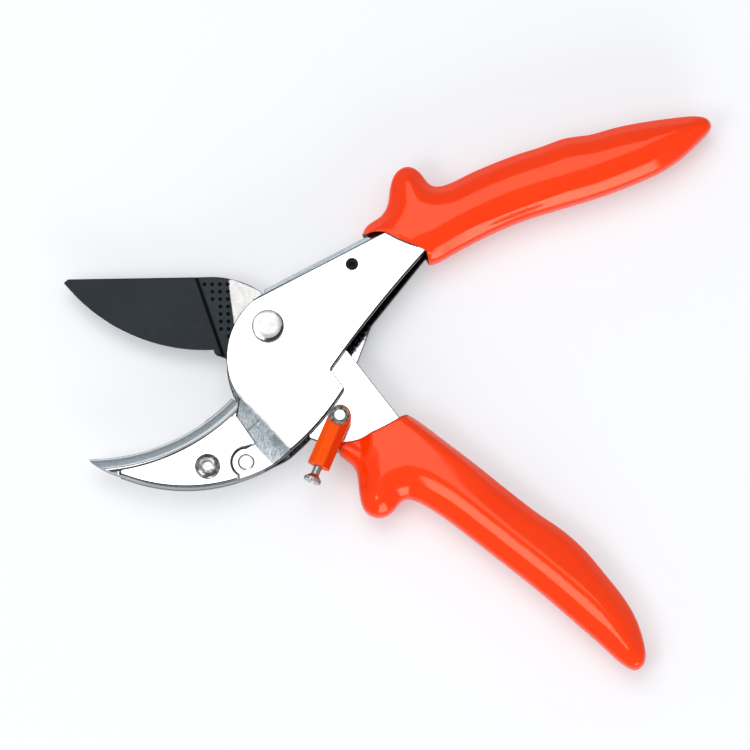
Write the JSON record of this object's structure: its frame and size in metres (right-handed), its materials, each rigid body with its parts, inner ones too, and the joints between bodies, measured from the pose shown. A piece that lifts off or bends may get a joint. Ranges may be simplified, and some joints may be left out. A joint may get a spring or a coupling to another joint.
{
  "type": "grafting pruner",
  "caption": "Two-handled bypass pruner with a curved cutting blade, a hooked counter blade, moulded grips, a spring and a swinging latch.",
  "frame": {"origin": "on the pivot axis, at the plane that the tool lies on (the underside of the pivot nut and of both grips)", "axes": "+X from the jaws towards the grips, +Y towards the upper grip, +Z from the surface that the tool lies on towards its front face"},
  "size_m": [0.1952, 0.1703, 0.0186],
  "materials": {
    "plated_steel": "bright plated sheet steel, slightly brushed",
    "ground_steel": "ground steel",
    "coated_steel": "blue-black satin coating with a ground edge",
    "fastener_steel": "turned steel",
    "pivot_steel": "bright turned steel",
    "black_steel": "blackened steel",
    "spring_steel": "tempered strip",
    "brass": "rolled brass",
    "grip_plastic": "glossy orange-red moulding",
    "latch_plastic": "satin orange moulding",
    "latch_screw_steel": "plated screw steel"
  },
  "bodies": {
    "frame": {"frame_channel": "plated_steel", "upper_grip": "grip_plastic", "hook_blade": "ground_steel", "hook_cover_plate": "plated_steel", "hook_screw": "fastener_steel", "hook_screw_nut": "fastener_steel", "hook_rivet": "fastener_steel", "pivot_bolt": "pivot_steel", "pivot_nut": "fastener_steel", "front_washer": "brass", "rear_washer": "brass", "spring_pin": "black_steel", "return_spring": "spring_steel"},
    "lever": {"lever_channel": "plated_steel", "lower_grip": "grip_plastic", "cutting_blade": "coated_steel", "blade_spacer": "plated_steel", "blade_rivets": "fastener_steel", "latch_stud": "fastener_steel", "latch_collar": "black_steel", "latch_ring": "black_steel"},
    "latch": {"latch_lever": "latch_plastic"},
    "adjusting_screw": {"latch_screw": "latch_screw_steel"}
  },
  "joints": [
    {"name": "lever_pivot", "type": "hinge", "parent": "frame", "child": "lever", "pos_m": [0, 0, 0.0075], "axis": [0, 0, 1], "range_deg": [0, 52], "stiffness_Nm_per_rad": 1.65, "springref_deg": -17.19, "deforming": ["return_spring"]},
    {"name": "latch_swing", "type": "hinge", "parent": "lever", "child": "latch", "pos_m": [0.02157, -0.02843, 0.01515], "axis": [0, 0, 1], "range_deg": [-10, 20]},
    {"name": "latch_screw_travel", "type": "slide", "parent": "latch", "child": "adjusting_screw", "axis": [-0.3907, -0.9205, 0], "range_m": [-0.0022, 0.0015]}
  ]
}
